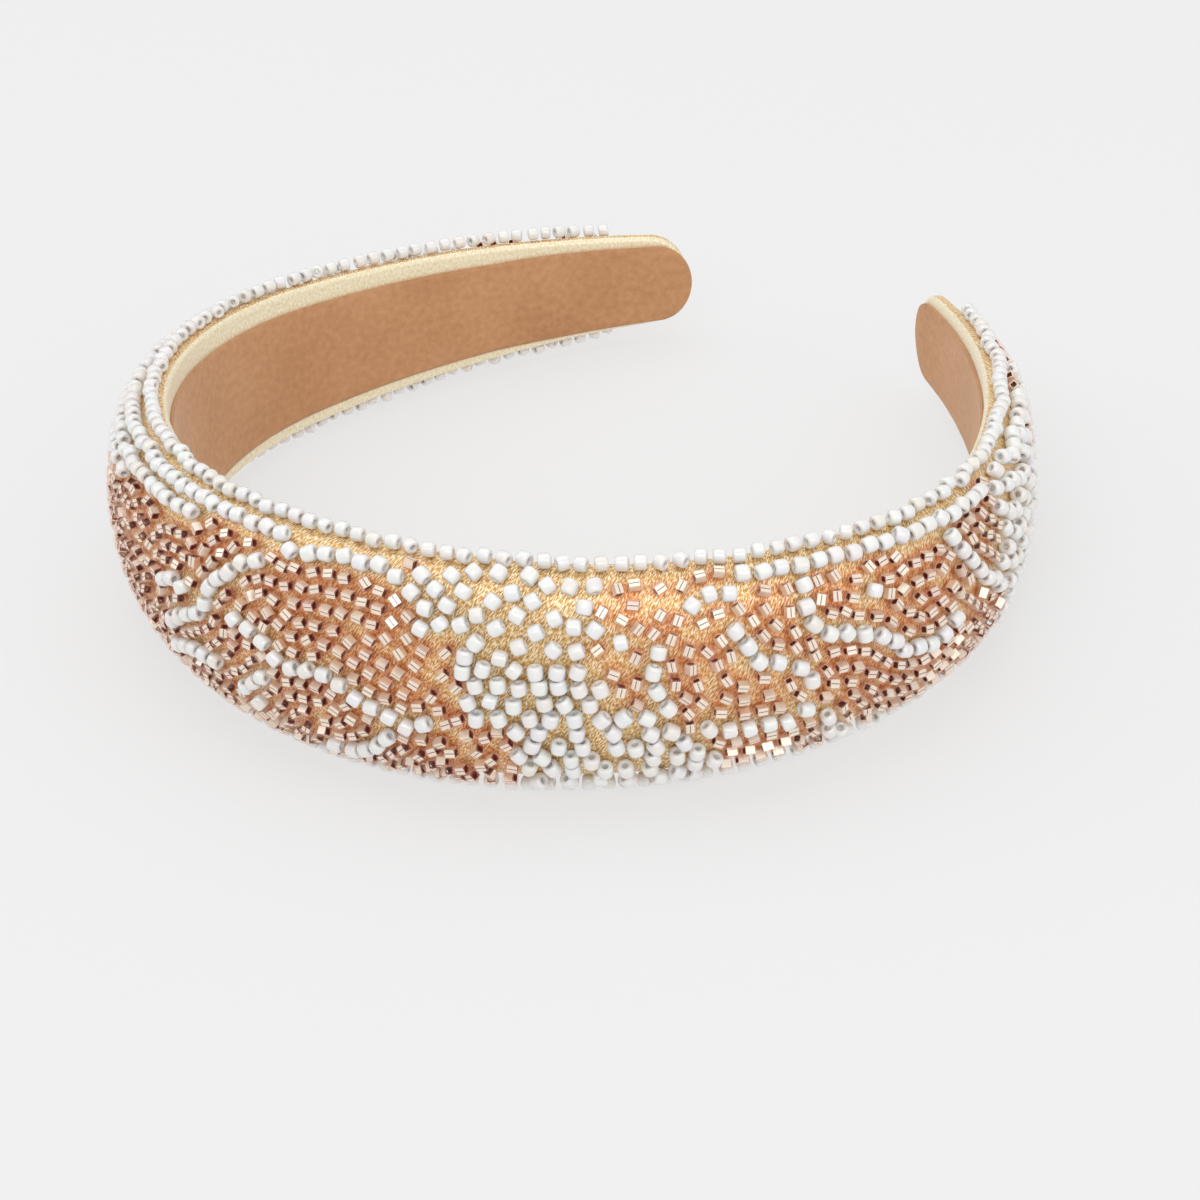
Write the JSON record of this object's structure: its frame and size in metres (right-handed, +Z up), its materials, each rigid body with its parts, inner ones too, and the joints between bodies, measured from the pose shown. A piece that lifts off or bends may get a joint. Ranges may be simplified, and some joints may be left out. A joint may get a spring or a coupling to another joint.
{
  "type": "beaded padded headband",
  "caption": "C-shaped padded hairband with a crowned gold satin cover sewn with pearl and rose seed beads, tapering to bare rounded tips, suede lined inside.",
  "frame": {"origin": "centre of the footprint of the headband lying on its long lower edge, on the surface it rests on", "axes": "+Z up, across the width of the band; front of the band (crown) toward -Y, open tips toward +Y; +X the band's left side when it is worn with +Z forward"},
  "size_m": [0.1542, 0.1496, 0.0409],
  "materials": {
    "core": "satin",
    "backing": "matte",
    "foam": "matte",
    "tape": "satin",
    "adhesive": "satin",
    "pearl_glass": "gloss",
    "rose_glass": "gloss",
    "gold_satin": "satin",
    "suede": "matte"
  },
  "bodies": {
    "root": {"core_band": "core", "embroidery_backing": "backing", "foam_pad": "foam", "foam_tape": "tape", "lining_adhesive": "adhesive", "lower_rim_beads_left": "pearl_glass", "lower_rim_beads_right": "pearl_glass", "pearl_beads_left_arm": "pearl_glass", "pearl_beads_right_arm": "pearl_glass", "pearl_field_beads_centre": "pearl_glass", "pearl_scroll_beads_left": "pearl_glass", "pearl_scroll_beads_right": "pearl_glass", "rose_beads_front_left": "rose_glass", "rose_beads_front_right": "rose_glass", "rose_beads_left_side": "rose_glass", "rose_beads_left_tail": "rose_glass", "rose_beads_right_tail": "rose_glass", "satin_cover": "gold_satin", "suede_lining": "suede", "upper_rim_beads_left": "pearl_glass", "upper_rim_beads_right": "pearl_glass"}
  },
  "joints": []
}
